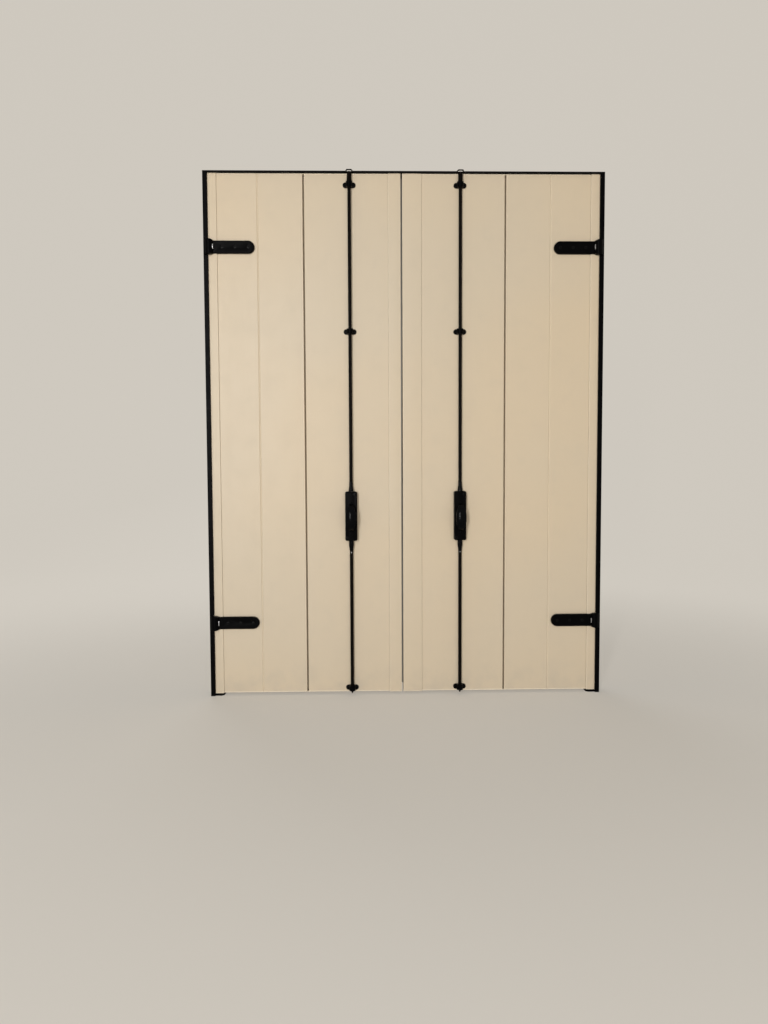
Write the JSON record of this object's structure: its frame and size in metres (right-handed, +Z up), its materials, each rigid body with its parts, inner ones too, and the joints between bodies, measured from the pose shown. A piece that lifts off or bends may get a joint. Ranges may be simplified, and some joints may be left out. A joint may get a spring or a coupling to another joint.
{
  "type": "boarded window shutters",
  "caption": "Pair of solid boarded shutter leaves in a slim black frame, hung on goose-neck strap hinges, each closed by a bow handle that drives bolt rods up and down.",
  "frame": {"origin": "middle of the footprint of the closed pair with its frame, at the underside of the feet", "axes": "+X to the right as seen from the room, +Y from the room outdoors, +Z up"},
  "size_m": [1.0004, 0.1052, 1.31],
  "materials": {
    "ivory_aluminium": "ivory satin powder coat",
    "black_aluminium": "black satin powder coat",
    "black_steel": "black semi-gloss paint",
    "bare_steel": "plain machined steel",
    "black_rubber": "matt black rubber",
    "nylon": "black nylon"
  },
  "bodies": {
    "frame": {"left_jamb": "black_aluminium", "right_jamb": "black_aluminium", "head": "black_aluminium", "corner_blocks": "black_steel", "left_foot": "black_steel", "right_foot": "black_steel", "left_jamb_seal": "black_rubber", "right_jamb_seal": "black_rubber", "head_seal": "black_rubber", "left_top_pintle": "black_steel", "left_bottom_pintle": "black_steel", "right_top_pintle": "black_steel", "right_bottom_pintle": "black_steel", "hinge_washers": "nylon", "frame_fasteners": "black_steel", "left_keeper": "black_steel", "right_keeper": "black_steel"},
    "left_leaf": {"left_hinge_board": "ivory_aluminium", "left_meeting_board": "ivory_aluminium", "left_hinge_stile": "ivory_aluminium", "left_meeting_stile": "ivory_aluminium", "left_end_closers": "ivory_aluminium", "left_meeting_seal": "black_rubber", "left_top_strap": "black_steel", "left_bottom_strap": "black_steel", "left_leaf_screws": "black_steel", "left_rod_guides": "black_steel", "left_lock_housing": "black_steel", "left_lock_back_plate": "black_steel"},
    "left_handle": {"left_handle": "black_steel", "left_pinion": "bare_steel"},
    "left_top_rod": {"left_top_rack": "bare_steel", "left_top_ferrule": "black_steel", "left_top_rod": "black_steel", "left_top_rod_tip": "black_steel"},
    "left_bottom_rod": {"left_bottom_rack": "bare_steel", "left_bottom_ferrule": "black_steel", "left_bottom_rod": "black_steel"},
    "right_leaf": {"right_hinge_board": "ivory_aluminium", "right_meeting_board": "ivory_aluminium", "right_hinge_stile": "ivory_aluminium", "right_meeting_stile": "ivory_aluminium", "right_end_closers": "ivory_aluminium", "right_meeting_seal": "black_rubber", "right_top_strap": "black_steel", "right_bottom_strap": "black_steel", "right_leaf_screws": "black_steel", "right_rod_guides": "black_steel", "right_lock_housing": "black_steel", "right_lock_back_plate": "black_steel"},
    "right_handle": {"right_handle": "black_steel", "right_pinion": "bare_steel"},
    "right_top_rod": {"right_top_rack": "bare_steel", "right_top_ferrule": "black_steel", "right_top_rod": "black_steel", "right_top_rod_tip": "black_steel"},
    "right_bottom_rod": {"right_bottom_rack": "bare_steel", "right_bottom_ferrule": "black_steel", "right_bottom_rod": "black_steel"}
  },
  "joints": [
    {"name": "left_leaf_hinge", "type": "hinge", "parent": "frame", "child": "left_leaf", "pos_m": [-0.49225, 0.04465, 0.6565], "axis": [0, 0, 1], "range_deg": [0, 180]},
    {"name": "left_handle_turn", "type": "hinge", "parent": "left_leaf", "child": "left_handle", "pos_m": [-0.13745, -0.02565, 0.4545], "axis": [0, 1, 0], "range_deg": [0, 90]},
    {"name": "left_top_rod_slide", "type": "slide", "parent": "left_leaf", "child": "left_top_rod", "axis": [0, 0, 1], "range_m": [0, 0.01295]},
    {"name": "left_bottom_rod_slide", "type": "slide", "parent": "left_leaf", "child": "left_bottom_rod", "axis": [0, 0, -1], "range_m": [0, 0.013]},
    {"name": "right_leaf_hinge", "type": "hinge", "parent": "frame", "child": "right_leaf", "pos_m": [0.49225, 0.04465, 0.6565], "axis": [0, 0, -1], "range_deg": [0, 180]},
    {"name": "right_handle_turn", "type": "hinge", "parent": "right_leaf", "child": "right_handle", "pos_m": [0.13745, -0.02565, 0.4545], "axis": [0, 1, 0], "range_deg": [0, 90]},
    {"name": "right_top_rod_slide", "type": "slide", "parent": "right_leaf", "child": "right_top_rod", "axis": [0, 0, 1], "range_m": [0, 0.01295]},
    {"name": "right_bottom_rod_slide", "type": "slide", "parent": "right_leaf", "child": "right_bottom_rod", "axis": [0, 0, -1], "range_m": [0, 0.013]}
  ],
  "couplings": [
    {"joint": "left_handle_turn", "follows": "left_top_rod_slide", "rad_per_m": 121.21},
    {"joint": "left_bottom_rod_slide", "follows": "left_top_rod_slide", "ratio": 1},
    {"joint": "right_handle_turn", "follows": "right_top_rod_slide", "rad_per_m": 121.21},
    {"joint": "right_bottom_rod_slide", "follows": "right_top_rod_slide", "ratio": 1}
  ]
}
